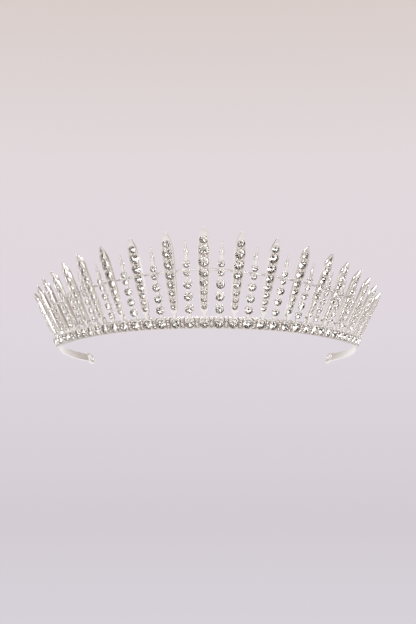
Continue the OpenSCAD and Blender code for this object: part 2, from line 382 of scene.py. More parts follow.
@dataclass(frozen=True)
class StoneCut:
    """Proportions of a round brilliant, against its radius, and the room in its seat."""

    crown: float = 0.32
    table: float = 0.58
    star: float = 0.8
    pavilion: float = 0.72
    lower: float = 0.3
    mains: int = 8
    clearance: float = 0.02 * MM
    seat_steps: int = 24
    seat_foot: float = 0.18
    # Painted shade on the stones' foil, strongest at the girdle, from 0 to 1.
    edge_shade: float = 0.6
    tilt: float = math.radians(2.5)
    roll: float = math.pi
    seed: int = 11

    def seat_depth(self, radius: float) -> float:
        """Gives the height of a seat's floor, below the girdle of a stone of some radius."""
        return -self.pavilion * radius - self.clearance

    def template(self) -> bpy.types.Mesh:
        """Cuts a stone of radius 1 with its girdle at height 0.

        Returns:
            A closed mesh whose pavilion faces are marked as foiled.
        """
        half = math.pi / self.mains
        mesh = bmesh.new()
        foiled = mesh.faces.layers.bool.new(FOILED)
        shaded = mesh.verts.layers.float.new(SHADE_MASK)

        def spot(radius: float, turn: float, height: float) -> bmesh.types.BMVert:
            """Adds a vertex at a radius, a turn in half facets and a height."""
            return mesh.verts.new((radius * math.cos(turn * half), radius * math.sin(turn * half), height))

        def depth(radius: float, inner: float, rise: float) -> float:
            """Gives the height at which a point half a facet round lies in the plane of its kite."""
            return rise * (1 - radius * math.cos(half)) / (1 - inner)

        numbers = range(self.mains)
        girdle = [spot(1, i, 0) for i in range(2 * self.mains)]
        table = [spot(self.table, 2 * i, self.crown) for i in numbers]
        star = [spot(self.star, 2 * i + 1, depth(self.star, self.table, self.crown)) for i in numbers]
        lower = [spot(self.lower, 2 * i + 1, depth(self.lower, 0, -self.pavilion)) for i in numbers]
        culet = mesh.verts.new((0, 0, -self.pavilion))
        mesh.faces.new(table)
        # Painted shade: the foil darkens towards the girdle.
        for vert in girdle:
            vert[shaded] = self.edge_shade
        for i in numbers:
            n = (i + 1) % self.mains
            corner, middle, following = girdle[2 * i], girdle[2 * i + 1], girdle[2 * n]
            mesh.faces.new([table[i], star[i], table[n]])
            mesh.faces.new([table[i], star[i - 1], corner, star[i]])
            mesh.faces.new([star[i], corner, middle])
            mesh.faces.new([star[i], middle, following])
            pavilion = [
                mesh.faces.new([culet, lower[i], corner, lower[i - 1]]),
                mesh.faces.new([lower[i], middle, corner]),
                mesh.faces.new([lower[i], following, middle]),
            ]
            for face in pavilion:
                face[foiled] = True
        bmesh.ops.recalc_face_normals(mesh, faces=mesh.faces)
        cut = bpy.data.meshes.new("brilliant")
        mesh.to_mesh(cut)
        mesh.free()
        return cut


STONE_CUT = StoneCut()


class Shell:
    """A closed casting under construction, in the local frame of its place on the tiara."""

    def __init__(self) -> None:
        """Starts an empty mesh with a mask of painted shade, partly tarnished metal, for its recesses."""
        self.mesh = bmesh.new()
        self.recess = self.mesh.verts.layers.float.new(SHADE_MASK)

    def ring(self, points: Sequence[Vector], recess: float = 0.0) -> Ring:
        """Adds a ring of vertices.

        Args:
            points: points in three dimensions.
            recess: how much painted shade the points get, partly tarnished metal, from 0 to 1.

        Returns:
            The new vertices.
        """
        verts = [self.mesh.verts.new(point) for point in points]
        for vert in verts:
            vert[self.recess] = recess
        return verts

    def level(self, outline: Sequence[Vector], z: float, recess: float = 0.0) -> Ring:
        """Adds an outline as a ring at one height out of the face."""
        return self.ring([Vector((point.x, point.y, z)) for point in outline], recess)

    def skin(self, rings: Sequence[Ring]) -> None:
        """Joins neighbouring rings with faces.

        Args:
            rings: rings of equally many vertices, or of one vertex at a pole.
        """
        for a, b in zip(rings, rings[1:]):
            for i in range(max(len(a), len(b))):
                if len(a) == len(b):
                    corners = [a[i - 1], a[i], b[i], b[i - 1]]
                else:
                    pole, rim = (a[0], b) if len(a) == 1 else (b[0], a)
                    corners = [pole, rim[i - 1], rim[i]]
                self.mesh.faces.new(corners)

    def fill(self, outer: Ring, holes: Sequence[Ring] = ()) -> None:
        """Fills a flat ring with triangles, round its holes.

        Args:
            outer: the ring round the face.
            holes: the rings of its holes.
        """
        verts = []
        edges = []
        for loop in (outer, *holes):
            start = len(verts)
            edges += [(start + i, start + (i + 1) % len(loop)) for i in range(len(loop))]
            verts += loop
        flat = [vert.co.xy for vert in verts]
        spots = np.array(flat)
        starts, ends = (spots[list(side)] for side in zip(*edges))
        _, _, faces, sources, _, _ = delaunay_2d_cdt(flat, edges, [], 0, FILL_TOLERANCE)
        for face in faces:
            corners = [sources[i][0] for i in face]
            if encloses(starts, ends, spots[corners].mean(axis=0)):
                self.mesh.faces.new([verts[i] for i in corners])

    def slab(self, outline: Sequence[Vector], back: float, face: float, edge: float) -> Ring:
        """Adds the back and sides of a slab with rounded edges, and leaves its face open.

        Args:
            outline: the slab's outline.
            back: height of its back.
            face: height of its face.
            edge: radius of its edges.

        Returns:
            The ring round the open face.
        """
        corner = rounding(edge, EDGE_STEPS)
        rings = [self.level(inset(outline, aside), back + rise) for rise, aside in corner]
        rings += [self.level(inset(outline, aside), face - drop) for aside, drop in corner]
        self.skin(rings)
        self.fill(rings[0])
        return rings[-1]

    def hollow(
        self, outline: Sequence[Vector], top: float, floor: float, edge: float,
        bottom: Sequence[Vector] | None = None, lip_shade: float = 0.0, floor_shade: float = 1.0,
    ) -> tuple[Ring, Ring]:
        """Adds the walls of a hollow, with a rounded lip.

        Args:
            outline: the hollow's outline.
            top: height of its lip.
            floor: height of its floor.
            edge: radius of its lip.
            bottom: outline of its floor, where its walls lean.
            lip_shade: how much painted shade its lip gets, from 0 to 1.
            floor_shade: how much painted shade its floor gets.

        Returns:
            The ring round the lip and the ring round the floor.
        """
        corner = rounding(edge, LIP_STEPS)
        rings = [self.level(inset(outline, -aside), top - drop, lip_shade) for drop, aside in corner]
        rings.append(self.level(bottom or outline, floor, floor_shade))
        self.skin(rings)
        return rings[0], rings[-1]

    def seats(self, circles: Sequence[StoneCircle], top: float, edge: float, lip_shade: float) -> list[Ring]:
        """Adds the seats of stones, each a cone that follows its stone's pavilion.

        Args:
            circles: middle and radius of each stone.
            top: height of the face that the seats are cut into.
            edge: radius of the seats' lips.
            lip_shade: how much painted shade the lips get, from 0 to 1.

        Returns:
            The rings round the seats' lips.
        """
        lips = []
        for centre, radius in circles:
            outline = circle(centre, radius + STONE_CUT.clearance, STONE_CUT.seat_steps)
            bottom = circle(centre, STONE_CUT.seat_foot * radius, STONE_CUT.seat_steps)
            lip, floor = self.hollow(outline, top, STONE_CUT.seat_depth(radius), edge, bottom, lip_shade)
            self.fill(floor)
            lips.append(lip)
        return lips

    def turned(
        self, profile: Sequence[tuple[float, float]], centre: Vector, pole: Pole, steps: int
    ) -> None:
        """Adds a turned solid.

        Args:
            profile: radius and height of its points. Radius 0 is a pole.
            centre: origin of the profile.
            pole: the direction that the profile stands in.
            steps: pieces round the turn.
        """
        rings = []
        for radius, height in profile:
            spots = [Vector((0, 0))] if radius == 0 else circle(Vector((0, 0)), radius, steps)
            if pole is Pole.OUT:
                points = [centre + Vector((p.x, p.y, height)) for p in spots]
            else:
                points = [centre + Vector((p.x, height, -p.y)) for p in spots]
            rings.append(self.ring(points))
        self.skin(rings)

    def swept(self, sections: Sequence[Sequence[Vector]]) -> None:
        """Adds a solid through cross-sections, closed at both ends.

        Args:
            sections: the points of each cross-section, in three dimensions.
        """
        first, last = ([middle_of(section)] for section in (sections[0], sections[-1]))
        self.skin([self.ring(points) for points in (first, *sections, last)])

    def rest_on_floor(self, place: Matrix) -> None:
        """Cuts what would reach below the floor back to a level land.

        Args:
            place: the local frame's place on the tiara.
        """
        for vert in self.mesh.verts:
            vert.co.y = max(vert.co.y, -(place[2][3] + vert.co.z * place[2][2]) / place[2][1])

    def to_mesh(self, name: str, place: Matrix | None = None) -> bpy.types.Mesh:
        """Ends the construction.

        Args:
            name: name of the mesh.
            place: the local frame's place on the tiara.

        Returns:
            The closed mesh, with outward normals, shaded smoothly apart from its sharp edges.
        """
        bmesh.ops.recalc_face_normals(self.mesh, faces=self.mesh.faces)
        mesh = bpy.data.meshes.new(name)
        self.mesh.to_mesh(mesh)
        self.mesh.free()
        if place is not None:
            mesh.transform(place)
        mesh.polygons.foreach_set("use_smooth", [True] * len(mesh.polygons))
        mesh.set_sharp_from_angle(angle=SMOOTH_ANGLE)
        return mesh


def bead(name: str) -> bpy.types.Mesh:
    """Builds a bead of radius 1 with few faces.

    Args:
        name: name of the mesh.

    Returns:
        The bead.
    """
    shell = Shell()
    turns = [i * math.pi / (2 * (BEAD_BELTS + 1)) for i in range(-BEAD_BELTS, BEAD_BELTS + 1)]
    belts = [(math.cos(a), math.sin(a)) for a in turns]
    shell.turned([(0.0, -1.0), *belts, (0.0, 1.0)], Vector(), Pole.OUT, SMALL_SIDES)
    return shell.to_mesh(name)


def add_object(name: str, data: bpy.types.ID) -> bpy.types.Object:
    """Adds an object to the scene, at the origin.

    Args:
        name: name of the object.
        data: its mesh, lamp or camera.

    Returns:
        The new object.
    """
    item = bpy.data.objects.new(name, data)
    bpy.context.scene.collection.objects.link(item)
    return item


def add_piece(
    name: str, mesh: bpy.types.Mesh, slot: Slot, finish: bpy.types.Material | None, *nodes: str
) -> None:
    """Puts a finished mesh on the tiara, as a piece that rides on its one body.

    Args:
        name: name of the piece.
        mesh: its mesh, in place.
        slot: the record's slot that its finish belongs to. It is not used.
        finish: its material, or None where the mesh has its own.
        nodes: the CAD nodes that it stands for.
    """
    if finish is not None:
        mesh.materials.clear()
        mesh.materials.append(finish)
    piece = add_object(name, mesh)
    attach(piece, ROOT)
    if nodes:
        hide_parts(*nodes)
    log.info("%s: %d faces, stands for %s", name, len(mesh.polygons), ", ".join(nodes) or "no node")


class NodeKit:
    """Adds nodes to a tree and links them."""

    def __init__(self, tree: bpy.types.NodeTree) -> None:
        """Wraps a node tree."""
        self.tree = tree

    @classmethod
    def group(cls, name: str, kind: str, inputs: dict[str, str], outputs: dict[str, str]) -> "NodeKit":
        """Starts a node group.

        Args:
            name: name of the group.
            kind: type of its tree.
            inputs: kind of each named input.
            outputs: kind of each named output.
        """
        tree = bpy.data.node_groups.new(name, kind)
        for way, sockets in (("INPUT", inputs), ("OUTPUT", outputs)):
            for socket, sort in sockets.items():
                tree.interface.new_socket(socket, in_out=way, socket_type="NodeSocket" + sort)
        return cls(tree)

    def connect(self, node: bpy.types.Node, links: Mapping[str, object]) -> None:
        """Fills in a node's inputs.

        Args:
            node: the node.
            links: value, or socket to link from, for each named input.
        """
        for key, value in links.items():
            socket = next(s for s in node.inputs if s.enabled and key in (s.name, s.identifier))
            if isinstance(value, Socket):
                self.tree.links.new(value, socket)
            else:
                socket.default_value = value

    def add(
        self, kind: str, links: Mapping[str, object] | None = None, **settings: object
    ) -> bpy.types.Node:
        """Adds a node.

        Args:
            kind: the node's type.
            links: value, or socket to link from, for each named input.
            settings: the node's own settings.

        Returns:
            The new node.
        """
        node = self.tree.nodes.new(kind)
        for key, value in settings.items():
            setattr(node, key, value)
        self.connect(node, links or {})
        return node

    def out(self, kind: str, links: Mapping[str, object] | None = None, **settings: object) -> Socket:
        """Adds a node as above, and gives the first of its outputs that is in use."""
        return next(s for s in self.add(kind, links, **settings).outputs if s.enabled)

    def attribute(self, name: str, kind: str) -> Socket:
        """Reads a named attribute of a geometry."""
        return self.out("GeometryNodeInputNamedAttribute", {"Name": name}, data_type=kind)

    def calculate(self, operation: str, *values: object, clamp: bool = False) -> Socket:
        """Works out one step of arithmetic with one or two values."""
        links = dict(zip(("Value", "Value_001"), values))
        return self.out("ShaderNodeMath", links, operation=operation, use_clamp=clamp)

    def remap(
        self, value: Socket, start: float, end: float, low: object = 0.0, high: object = 1.0
    ) -> Socket:
        """Maps the values from start to end onto those from low to high."""
        links = {"Value": value, "From Min": start, "From Max": end, "To Min": low, "To Max": high}
        return self.out("ShaderNodeMapRange", links)

    def noise(self, place: Socket | None, scale: object, detail: float) -> Socket:
        """Adds cloudy noise, at given places or over the whole object."""
        links = {"Scale": scale, "Detail": detail} | ({} if place is None else {"Vector": place})
        return self.out("ShaderNodeTexNoise", links)

    def mix(self, share: object, one: object, other: object, blend: str = "MIX") -> Socket:
        """Mixes two colours."""
        links = {"Factor_Float": share, "A_Color": one, "B_Color": other}
        return self.out("ShaderNodeMix", links, data_type="RGBA", blend_type=blend)

    def mix_shaders(self, share: Socket, one: Socket, other: Socket) -> Socket:
        """Mixes two shaders."""
        return self.out("ShaderNodeMixShader", {"Fac": share, "Shader": one, "Shader_001": other})

    def ramp(self, factor: Socket, stops: Stops, blend: str = "LINEAR") -> Socket:
        """Adds a colour ramp.

        Args:
            factor: the socket that drives it.
            stops: place and colour of each stop.
            blend: how the colours run into each other.

        Returns:
            The socket of its colour.
        """
        node = self.add("ShaderNodeValToRGB", {"Fac": factor})
        node.color_ramp.interpolation = blend
        elements = node.color_ramp.elements
        for number, (place, colour) in enumerate(stops):
            stop = elements[number] if number < len(elements) else elements.new(place)
            stop.position = place
            stop.color = colour
        return node.outputs["Color"]

    def cards(self, place: Socket, scale: float, stops: Stops) -> Socket:
        """Adds a patchwork of plain cards, each in one of the given colours.

        Args:
            place: the socket of the places that the cards cover.
            scale: how many cards there are to a unit of length.
            stops: the share at which each colour starts, and the colour.

        Returns:
            The socket of the colour.
        """
        patches = self.add("ShaderNodeTexVoronoi", {"Vector": place, "Scale": scale})
        pick = self.add("ShaderNodeSeparateColor", {"Color": patches.outputs["Color"]})
        return self.ramp(pick.outputs["Red"], stops, "CONSTANT")


def repeat_tree() -> bpy.types.NodeTree:
    """Builds the tree that sets a template on every place, turned and sized as the place says.

    Returns:
        The tree.
    """
    inputs = {
        "Geometry": "Geometry", "Template": "Object", "Finish": "Material", "Back finish": "Material",
        "Spread": "Vector", "Seed": "Int",
    }
    kit = NodeKit.group("set_on_places", "GeometryNodeTree", inputs, {"Geometry": "Geometry"})
    given = kit.add("NodeGroupInput").outputs
    backwards = kit.out(
        "ShaderNodeVectorMath", {"Vector": given["Spread"], "Scale": -1.0}, operation="SCALE"
    )
    drawn = kit.out(
        "FunctionNodeRandomValue",
        {"Min": backwards, "Max": given["Spread"], "Seed": given["Seed"]},
        data_type="FLOAT_VECTOR",
    )
    spin = kit.out("FunctionNodeEulerToRotation", {"Euler": drawn})
    turned = kit.out(
        "FunctionNodeRotateRotation",
        {"Rotation": kit.attribute(TURN, "QUATERNION"), "Rotate By": spin},
        rotation_space="LOCAL",
    )
    template = kit.add("GeometryNodeObjectInfo", {"Object": given["Template"]})
    copies = kit.out(
        "GeometryNodeInstanceOnPoints",
        {
            "Points": given["Geometry"],
            "Instance": template.outputs["Geometry"],
            "Rotation": turned,
            "Scale": kit.attribute(SIZE, "FLOAT_VECTOR"),
        },
    )
    real = kit.out("GeometryNodeRealizeInstances", {"Geometry": copies})
    dressed = kit.out("GeometryNodeSetMaterial", {"Geometry": real, "Material": given["Finish"]})
    backed = kit.out(
        "GeometryNodeSetMaterial",
        {
            "Geometry": dressed,
            "Selection": kit.attribute(FOILED, "BOOLEAN"),
            "Material": given["Back finish"],
        },
    )
    kit.add("NodeGroupOutput", {"Geometry": backed})
    return kit.tree


def wire_tree() -> bpy.types.NodeTree:
    """Builds the tree that draws a round wire along a chain of points.

    Returns:
        The tree.
    """
    inputs = {
        "Geometry": "Geometry", "Radius": "Float", "Sides": "Int", "Steps": "Int", "Finish": "Material",
    }
    kit = NodeKit.group("wire_along_points", "GeometryNodeTree", inputs, {"Geometry": "Geometry"})
    given = kit.add("NodeGroupInput").outputs
    chain = kit.out("GeometryNodeMeshToCurve", {"Mesh": given["Geometry"]})
    curve = kit.out("GeometryNodeCurveSplineType", {"Curve": chain}, spline_type="CATMULL_ROM")
    fine = kit.out("GeometryNodeSetSplineResolution", {"Geometry": curve, "Resolution": given["Steps"]})
    profile = kit.out(
        "GeometryNodeCurvePrimitiveCircle", {"Resolution": given["Sides"], "Radius": given["Radius"]}
    )
    wire = kit.out("GeometryNodeCurveToMesh", {"Curve": fine, "Profile Curve": profile, "Fill Caps": True})
    real = kit.out("GeometryNodeRealizeInstances", {"Geometry": wire})
    dressed = kit.out("GeometryNodeSetMaterial", {"Geometry": real, "Material": given["Finish"]})
    kit.add("NodeGroupOutput", {"Geometry": dressed})
    return kit.tree


def grow(
    name: str, seed: bpy.types.Mesh, tree: bpy.types.NodeTree, values: Mapping[str, object]
) -> bpy.types.Mesh:
    """Runs a Geometry Nodes tree on a mesh and keeps the result as a plain mesh.

    Args:
        name: name of the result.
        seed: the mesh that the tree starts from.
        tree: the tree.
        values: value of each of its named inputs.

    Returns:
        The plain mesh.
    """
    holder = add_object(name, seed)
    modifier = holder.modifiers.new(name, "NODES")
    modifier.node_group = tree
    for item in tree.interface.items_tree:
        if item.item_type == "SOCKET" and item.in_out == "INPUT" and item.name in values:
            modifier[item.identifier] = values[item.name]
    depsgraph = bpy.context.evaluated_depsgraph_get()
    plain = bpy.data.meshes.new_from_object(
        holder.evaluated_get(depsgraph), preserve_all_data_layers=True, depsgraph=depsgraph
    )
    holder.modifiers.clear()
    bpy.context.view_layer.update()
    bpy.data.objects.remove(holder)
    plain.name = name
    return plain


@dataclass
class Repeats:
    """Copies of one template, each set on a place of its own."""

    template: bpy.types.Mesh
    places: list[Matrix] = field(default_factory=list)
    sizes: list[Vector] = field(default_factory=list)

    def put(self, place: Matrix, size: Sequence[float] = (1, 1, 1)) -> None:
        """Adds one copy at a place, of a size along the place's own axes."""
        self.places.append(place)
        self.sizes.append(Vector(size))

    def grown(
        self, name: str, tree: bpy.types.NodeTree, finish: bpy.types.Material,
        back_finish: bpy.types.Material | None = None, spread: Sequence[float] = (0, 0, 0), seed: int = 0,
    ) -> bpy.types.Mesh:
        """Makes one plain mesh of all the copies.

        Args:
            name: name of the mesh.
            tree: the tree that sets the copies.
            finish: material of the copies.
            back_finish: material of their foiled faces.
            spread: greatest random turns about the template's own axes, either way.
            seed: seed of the random turns.

        Returns:
            The plain mesh.
        """
        points = bpy.data.meshes.new(name)
        points.from_pydata([place.translation for place in self.places], [], [])
        turns = [number for place in self.places for number in place.to_quaternion()]
        sizes = [number for size in self.sizes for number in size]
        points.attributes.new(TURN, "QUATERNION", "POINT")
        points.attributes.new(SIZE, "FLOAT_VECTOR", "POINT")
        points.attributes[TURN].data.foreach_set("value", turns)
        points.attributes[SIZE].data.foreach_set("vector", sizes)
        holder = add_object(name + "_template", self.template)
        values = {
            "Template": holder, "Finish": finish, "Back finish": back_finish or finish,
            "Spread": [float(turn) for turn in spread], "Seed": seed,
        }
        plain = grow(name, points, tree, values)
        bpy.data.objects.remove(holder)
        return plain


def new_material(name: str) -> tuple[bpy.types.Material, NodeKit, bpy.types.Node]:
    """Starts a material.

    Args:
        name: name of the material.
    """
    material = bpy.data.materials.new(name)
    material.use_nodes = True
    return material, NodeKit(material.node_tree), material.node_tree.nodes["Principled BSDF"]


@dataclass(frozen=True)
class PlatingVariation:
    """How plated metal varies: cloudy tarnished patches, recesses darkened by painted shade and tarnished
    metal, uneven polish and a ripple.
    """

    patches: tuple[float, float] = (0.35, 0.75)
    patch_tarnish: float = 0.12
    patch_detail: float = 3.0
    shade_power: float = 2.0
    polish: tuple[float, float] = (0.3, 0.7)
    polish_scale: float = 5.0
    polish_detail: float = 2.0

    def group(self) -> bpy.types.NodeTree:
        """Builds the shader group of these effects.

        Returns:
            The group, which puts out a colour, a roughness and a height.
        """
        inputs = {
            "Place": "Vector", "Bright": "Color", "Shade and tarnish": "Color", "Painted shade": "Float",
            "Grain": "Float", "Smoothest": "Float", "Roughest": "Float",
        }
        outputs = {"Colour": "Color", "Roughness": "Float", "Height": "Float"}
        kit = NodeKit.group("plating_variation", "ShaderNodeTree", inputs, outputs)
        given = kit.add("NodeGroupInput").outputs
        cloud = kit.noise(given["Place"], given["Grain"], self.patch_detail)
        fine_scale = kit.calculate("MULTIPLY", given["Grain"], self.polish_scale)
        fine = kit.noise(given["Place"], fine_scale, self.polish_detail)
        patchy = kit.remap(cloud, *self.patches, 0.0, self.patch_tarnish)
        # Painted shade, partly tarnished metal: the mask darkens the metal towards its darker colour, on
        # top of the cloudy patches.
        deep = kit.calculate("POWER", given["Painted shade"], self.shade_power)
        dark = kit.calculate("ADD", deep, patchy, clamp=True)
        colour = kit.mix(dark, given["Bright"], given["Shade and tarnish"])
        rough = kit.remap(fine, *self.polish, given["Smoothest"], given["Roughest"])
        kit.add("NodeGroupOutput", {"Colour": colour, "Roughness": rough, "Height": cloud})
        return kit.tree


@dataclass(frozen=True)
class SilverPlate:
    """Bright silver plate, with a faint ripple, and metal in recesses darkened by painted shade and
    tarnished metal.
    """

    name: str
    bright: Colour
    shade_and_tarnish: Colour
    grain: float
    smoothest: float
    roughest: float
    ripple: float

    def material(self, variation: bpy.types.NodeTree) -> bpy.types.Material:
        """Builds the material.

        Args:
            variation: the shared group of plating effects.

        Returns:
            The material.
        """
        material, kit, shader = new_material(self.name)
        effect = kit.add(
            "ShaderNodeGroup",
            {
                "Place": kit.add("ShaderNodeTexCoord").outputs["Object"],
                "Painted shade": kit.add("ShaderNodeAttribute", attribute_name=SHADE_MASK).outputs["Fac"],
                "Bright": self.bright,
                "Shade and tarnish": self.shade_and_tarnish,
                "Grain": self.grain,
                "Smoothest": self.smoothest,
                "Roughest": self.roughest,
            },
            node_tree=variation,
        ).outputs
        bump = kit.out("ShaderNodeBump", {"Height": effect["Height"], "Distance": self.ripple})
        metal = {"Base Color": effect["Colour"], "Roughness": effect["Roughness"], "Normal": bump}
        kit.connect(shader, metal | {"Metallic": 1.0})
        return material


@dataclass(frozen=True)
class ClearStone:
    """Clear cut glass, with a tint that differs a little from stone to stone."""

    name: str = "clear_stone_glass"
    tint: Colour = (1.0, 0.995, 0.985, 1.0)
    haze: Colour = (0.96, 0.94, 0.925, 1.0)
    index: float = 1.6
    roughness: float = 0.01
    cloud: float = 260.0
    cloud_detail: float = 1.0

    def material(self) -> bpy.types.Material:
        """Builds the glass.

        Returns:
            The material.
        """
        material, kit, shader = new_material(self.name)
        place = kit.add("ShaderNodeTexCoord").outputs["Object"]
        colour = kit.mix(kit.noise(place, self.cloud, self.cloud_detail), self.tint, self.haze)
        glass = {"Base Color": colour, "Roughness": self.roughness, "IOR": self.index}
        kit.connect(shader, glass | {"Transmission Weight": 1.0})
        return material


# The second colour of each finish is its darker metal, for tarnished patches and for painted shade in
# recesses.
CAST_SILVER = SilverPlate(
    "cast_silver_plate", (0.95, 0.94, 0.93, 1.0), (0.35, 0.26, 0.19, 1.0), 900.0, 0.10, 0.24, 0.02 * MM
)
BAND_SILVER = SilverPlate(
    "band_silver_plate", (0.95, 0.94, 0.94, 1.0), (0.68, 0.66, 0.65, 1.0), 420.0, 0.16, 0.34, 0.015 * MM
)
WIRE_SILVER = SilverPlate(
    "wire_silver_plate", (0.98, 0.97, 0.96, 1.0), (0.70, 0.68, 0.66, 1.0), 600.0, 0.20, 0.40, 0.01 * MM
)
STONE_FOIL = SilverPlate(
    "stone_foil", (0.94, 0.93, 0.92, 1.0), (0.32, 0.24, 0.18, 1.0), 700.0, 0.005, 0.02, 0.0005 * MM
)


@dataclass
class Casting:
    """A casting that stands on the base row. Its stones run from the foot up.

    Heights are up the slope from its lowest stone, and depths are out of that stone's girdle.
    """

    node: str
    stones: list[Seat]
    place: Matrix = field(init=False)
    circles: list[StoneCircle] = field(init=False)
    foot: float = field(init=False)
    tip: float = field(init=False)
    back: float = field(init=False)
    face: float = field(init=False)

    def measure(self) -> tuple[np.ndarray, np.ndarray, np.ndarray]:
        """Reads the casting's place, stones and ends from its CAD node.

        Returns:
            Each vertex's distance from the middle line, its height and its depth.
        """
        self.place = self.stones[0].place
        self.circles = circles_in(self.place, self.stones)
        x, y, z = local_points(self.node, self.place).T
        self.foot, self.tip = y.min(), y.max()
        return abs(x), y, z


@dataclass
class Spear(Casting):
    """One lance-shaped casting: a neck, a raised rim round eight graduated stones, and a tip."""

    steps: int = 12
    cap_steps: int = 6
    edge_share: float = 0.4
    lip_share: float = 0.2
    seat_lip_share: float = 0.1
    wall_share: float = 0.5
    ridge_share: float = 0.45
    point_depth: float = 1.1 * MM
    # Painted shade, partly tarnished metal, from 0 to 1: on the seats' lips, on the recess floor and on
    # the top seat's lip towards the tip.
    lip_shade: float = 0.75
    floor_shade: float = 0.4
    tip_shade: float = 0.1
    prong_share: float = 0.46
    prong_bite: float = 0.05 * MM
    prong_height: float = 0.7
    floor: float = field(init=False)
    belly: float = field(init=False)
    rim: float = field(init=False)
    neck: float = field(init=False)
    point: float = field(init=False)
    crown: float = field(init=False)
    neck_top: float = field(init=False)
    belly_y: float = field(init=False)
    margin: float = field(init=False)
    frame_foot: float = field(init=False)
    frame_half: float = field(init=False)

    def __post_init__(self) -> None:
        """Measures the casting's CAD node."""
        x, y, z = self.measure()
        self.back, self.face = z.min(), z.max()
        self.floor = z[z > WELD].min()
        self.belly = x.max()
        self.rim = self.belly - x[abs(z - self.floor) < WELD].max()
        self.neck = x[y < self.foot + WELD].max()
        self.point = x[y > self.tip - WELD].max()
        self.crown = self.tip - self.point
        outline = z < self.back + WELD
        self.neck_top = y[outline & (abs(x - self.neck) < WELD)].max()
        widest, widest_radius = self.circles[-2]
        self.belly_y = widest.y
        self.margin = self.belly - widest_radius - self.rim
        self.frame_foot = -self.circles[0][1] - self.margin - self.rim
        self.frame_half = self.circles[0][1] + self.margin + self.rim

    def half(self, y: float) -> float:
        """Gives half the casting's width.

        Args:
            y: height up the slope.

        Returns:
            Half the width there.
        """
        if y < self.neck_top:
            return self.neck
        if y < self.frame_foot:
            t = (y - self.neck_top) / (self.frame_foot - self.neck_top)
            return self.neck + (self.frame_half - self.neck) * t * t * (3 - 2 * t)
        below = y < self.belly_y
        run = self.belly_y - self.frame_foot if below else self.tip - self.belly_y
        sag = self.belly - (self.frame_half if below else self.point)
        return self.belly - arc_drop(run, sag, y - self.belly_y)

    def cap(self, inside: float) -> list[tuple[float, float]]:
        """Gives the right half of the rounded point.

        Args:
            inside: distance inside the outline.

        Returns:
            Points in two dimensions, which run upwards.
        """
        half, rise = self.half(self.crown) - inside, self.point - inside
        turns = [i * math.pi / (2 * self.cap_steps) for i in range(self.cap_steps)]
        curve = [(half * math.cos(a), self.crown + rise * math.sin(a)) for a in turns]
        return [*curve, (0.0, self.crown + rise)]

    def outline(self) -> list[Vector]:
        """Gives the casting's outline, with a rounded point.

        Returns:
            Points in two dimensions.
        """
        bounds = self.neck_top, self.frame_foot, self.belly_y, self.crown
        stations = [self.foot]
        for low, high in zip(bounds, bounds[1:]):
            stations += [low + (high - low) * i / self.steps for i in range(self.steps)]
        return mirrored([*((self.half(y), y) for y in stations), *self.cap(0.0)])

    def recess(self) -> list[Vector]:
        """Gives the outline of the recess inside the rim, round at its foot and drawn out into the tip.

        Returns:
            Points in two dimensions.
        """
        low, radius = self.circles[0]
        bottom = low.y - radius - self.margin
        count = 3 * self.steps
        right = [(0.0, bottom)]
        for i in range(1, count):
            y = bottom + (self.crown - bottom) * (1 - math.cos(math.pi * i / count)) / 2
            width = self.half(y) - self.rim
            if y < low.y:
                width = min(width, math.sqrt((radius + self.margin) ** 2 - (y - low.y) ** 2))
            right.append((width, y))
        return mirrored([*right, *self.cap(self.rim)])

    def depth(self, y: float) -> float:
        """Gives how deep the casting is: it thins from its top stone to its point.

        Args:
            y: height up the slope.

        Returns:
            The depth there.
        """
        start = self.circles[-1][0].y
        t = max(0.0, (y - start) / (self.tip - start))
        return (self.face - self.back) * (1 - t) + self.point_depth * t

    def body(self, shell: Shell) -> Ring:
        """Adds the ridged back, the walls and the rounded edge of the face, which stays open.

        Args:
            shell: the casting.

        Returns:
            The ring round the open face.
        """
        outline = self.outline()
        ridge = [Vector((p.x * self.ridge_share, p.y, self.face - self.depth(p.y))) for p in outline]
        wall = [Vector((p.x, p.y, self.face - self.wall_share * self.depth(p.y))) for p in outline]
        rings = [shell.ring(ridge), shell.ring(wall)]
        for aside, drop in rounding(self.edge_share * self.rim, EDGE_STEPS):
            rings.append(shell.level(inset(outline, aside), self.face - drop))
        shell.skin(rings)
        shell.fill(rings[0])
        return rings[-1]

    def mesh(self) -> bpy.types.Mesh:
        """Builds the casting with soft edges, its recess and its seats.

        Returns:
            The casting, in place.
        """
        shell = Shell()
        rim = self.body(shell)
        edge = self.lip_share * self.rim
        lip, floor = shell.hollow(
            self.recess(), self.face, self.floor, edge, floor_shade=self.floor_shade
        )
        shell.fill(rim, [lip])
        lips = shell.seats(self.circles, self.floor, self.seat_lip_share * self.rim, self.lip_shade)
        # Painted shade: the top seat's lip gets less of it on its side towards the tip.
        for vert in lips[-1]:
            if vert.co.y > self.circles[-1][0].y:
                vert[shell.recess] = self.tip_shade
        shell.fill(floor, lips)
        return shell.to_mesh(self.node + "_casting", self.place)

    def set_prongs(self, prongs: Repeats) -> None:
        """Adds the two beads that hold each pair of neighbouring stones.

        Args:
            prongs: where the beads are gathered.
        """
        for (low, low_radius), (high, high_radius) in zip(self.circles, self.circles[1:]):
            radius = (low_radius + high_radius) / 2
            y = (low.y + low_radius + high.y - high_radius) / 2
            x = self.prong_share * radius
            reach = math.hypot(x, high.y - y) - high_radius + self.prong_bite
            for side in (-x, x):
                spot = Matrix.Translation(Vector((side, y, self.floor)))
                prongs.put(self.place @ spot, (reach, reach, self.prong_height * reach))


